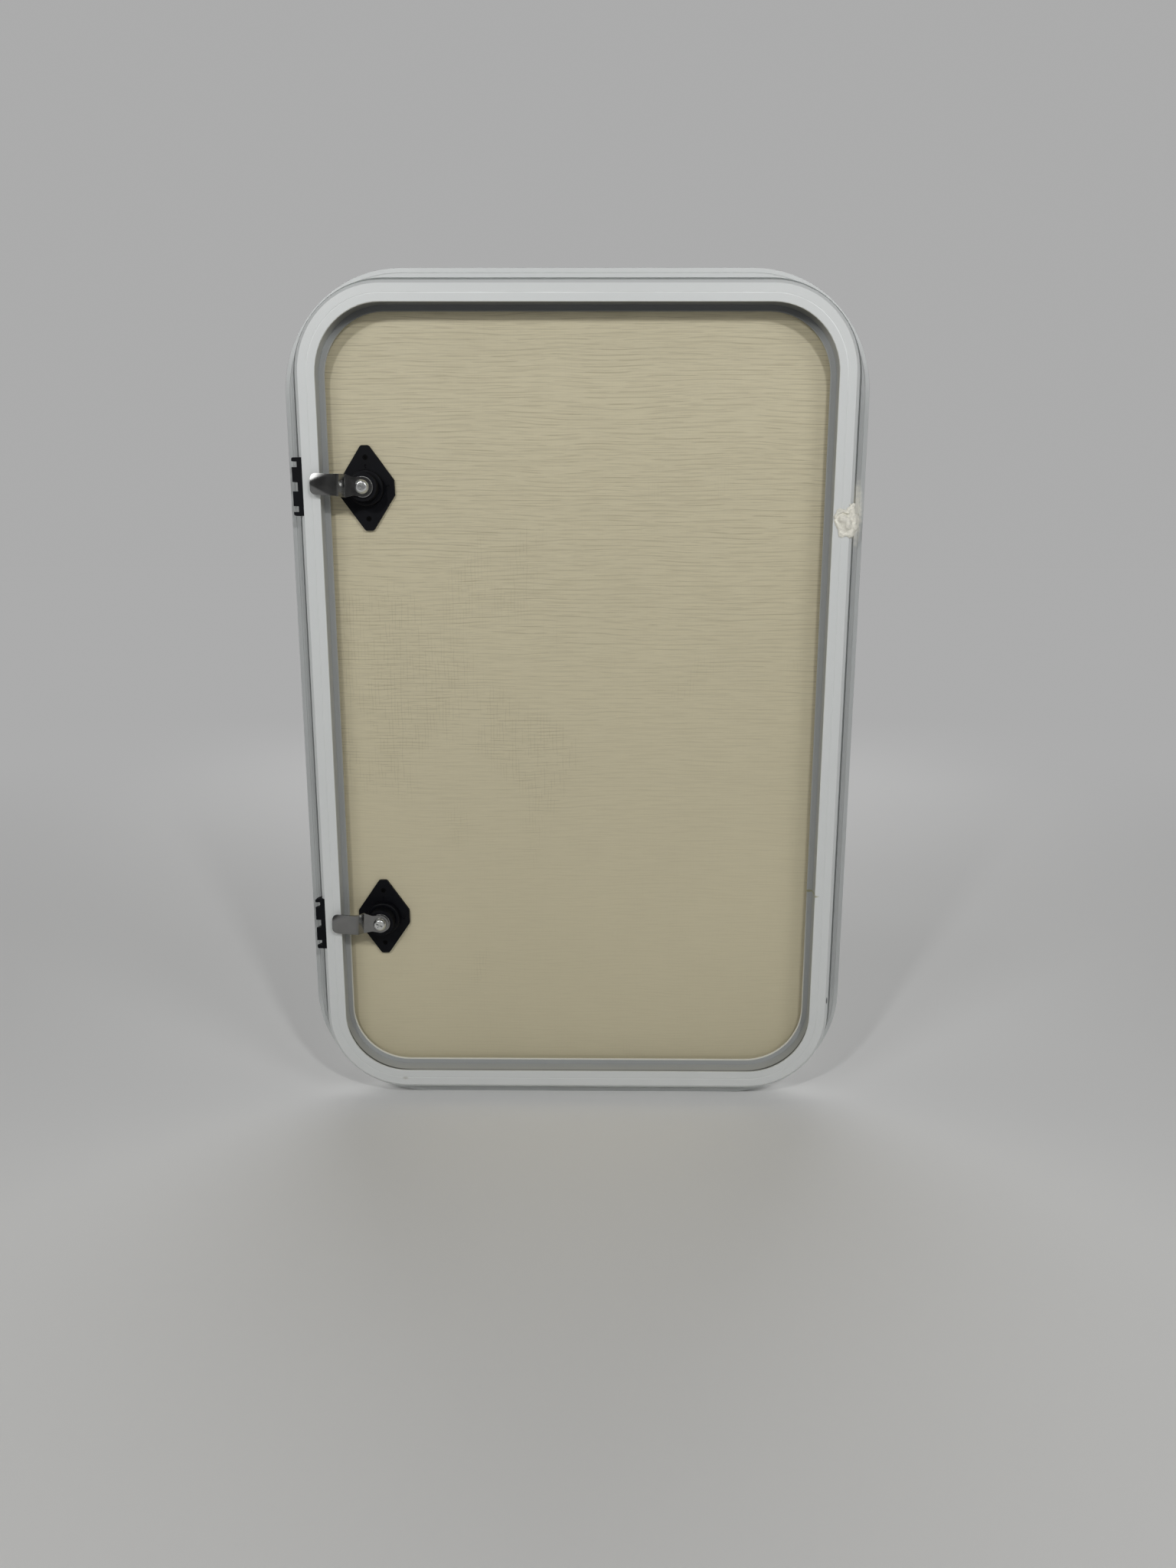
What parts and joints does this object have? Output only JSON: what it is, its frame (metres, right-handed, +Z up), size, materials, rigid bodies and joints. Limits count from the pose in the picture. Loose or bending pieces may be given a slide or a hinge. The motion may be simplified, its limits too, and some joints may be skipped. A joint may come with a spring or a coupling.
{
  "type": "caravan service hatch",
  "caption": "Rounded rectangular wall hatch for a caravan: flanged bent frame, outward opening door on side hinges, held shut by turning cam locks.",
  "frame": {"origin": "middle of the opening, in the plane of the caravan's outer skin, on which the frame's flange seats", "axes": "+Z up along the hatch's long side, +X to the right as seen from inside the caravan, +Y outwards through the wall"},
  "size_m": [0.5, 0.0534, 0.75],
  "materials": {
    "white_frame_paint": "white powder coat, satin",
    "white_door_skin": "white lacquered sheet, satin",
    "beige_lining": "plywood faced with a beige woven-look print, satin",
    "pale_foam": "rigid foam board",
    "black_rubber": "extruded rubber seal, matt",
    "black_plastic": "black moulded plastic, fine texture",
    "zinc_plated_steel": "zinc plated pressed steel",
    "bright_screw_steel": "bright plated",
    "die_cast_barrel": "die cast, satin",
    "black_screw_steel": "black oxide",
    "hinge_steel": "stainless, satin",
    "hard_sealant": "hardened white sealant, uneven"
  },
  "bodies": {
    "frame": {"outer_frame": "white_frame_paint", "hinge_frame_screws": "bright_screw_steel", "sealant_lump": "hard_sealant", "upper_toothed_clip": "black_plastic", "lower_toothed_clip": "black_plastic", "upper_hinge_frame_leaf": "hinge_steel", "lower_hinge_frame_leaf": "hinge_steel", "upper_hinge_pin": "hinge_steel", "lower_hinge_pin": "hinge_steel"},
    "door": {"door_edge_profile": "white_frame_paint", "door_lining": "beige_lining", "door_core": "pale_foam", "door_skin": "white_door_skin", "door_seal": "black_rubber", "hinge_door_screws": "bright_screw_steel", "lock_plate_screws": "black_screw_steel", "upper_hinge_door_leaf": "hinge_steel", "lower_hinge_door_leaf": "hinge_steel", "upper_lock_housing": "black_plastic", "lower_lock_housing": "black_plastic", "upper_lock_plate": "black_plastic", "lower_lock_plate": "black_plastic"},
    "upper_cam_turn": {"upper_lock_barrel": "die_cast_barrel", "upper_lock_cam": "zinc_plated_steel", "upper_cam_screw": "bright_screw_steel"},
    "lower_cam_turn": {"lower_lock_barrel": "die_cast_barrel", "lower_lock_cam": "zinc_plated_steel", "lower_cam_screw": "bright_screw_steel"}
  },
  "joints": [
    {"name": "door_hinge", "type": "hinge", "parent": "frame", "child": "door", "pos_m": [0.23425, 0.0249, 0], "axis": [0, 0, -1], "range_deg": [0, 170]},
    {"name": "upper_cam", "type": "hinge", "parent": "door", "child": "upper_cam_turn", "pos_m": [-0.184, 0, 0.197], "axis": [0, -1, 0], "range_deg": [0, 90]},
    {"name": "lower_cam", "type": "hinge", "parent": "door", "child": "lower_cam_turn", "pos_m": [-0.184, 0, -0.197], "axis": [0, -1, 0], "range_deg": [0, 90]}
  ]
}
